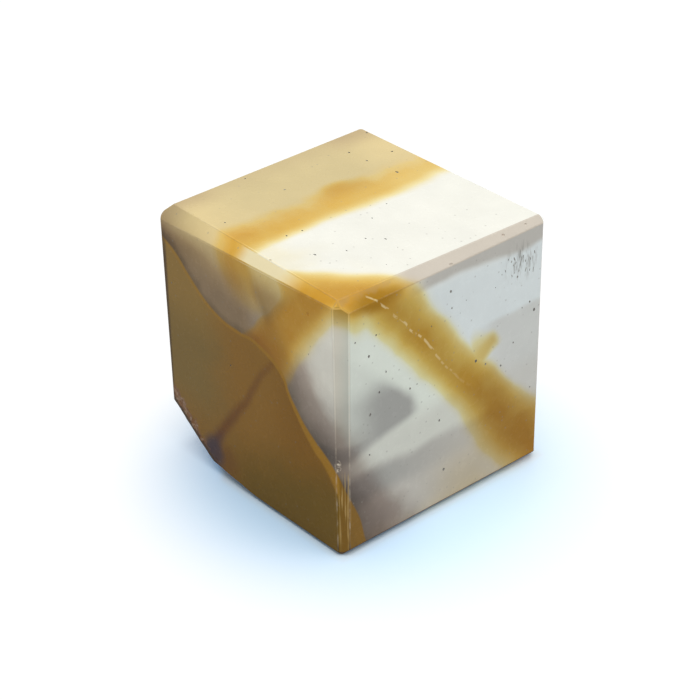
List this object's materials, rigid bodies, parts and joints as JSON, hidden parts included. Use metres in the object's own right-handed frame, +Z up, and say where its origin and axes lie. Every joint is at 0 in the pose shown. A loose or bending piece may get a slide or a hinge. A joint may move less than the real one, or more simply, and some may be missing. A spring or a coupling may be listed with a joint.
{
  "type": "jasper cube",
  "caption": "Polished cube of banded ochre, cream and grey jasper with hand-ground bevels and a broken bottom corner, for display or as a paperweight.",
  "frame": {"origin": "middle of the base's outline, on the surface the block stands on", "axes": "+Z up along the height, the longest side; front face along -Y; right-hand face along +X"},
  "size_m": [0.045, 0.0442, 0.046],
  "materials": {
    "jasper": "polished"
  },
  "bodies": {
    "root": {"jasper_cube": "jasper"}
  },
  "joints": []
}
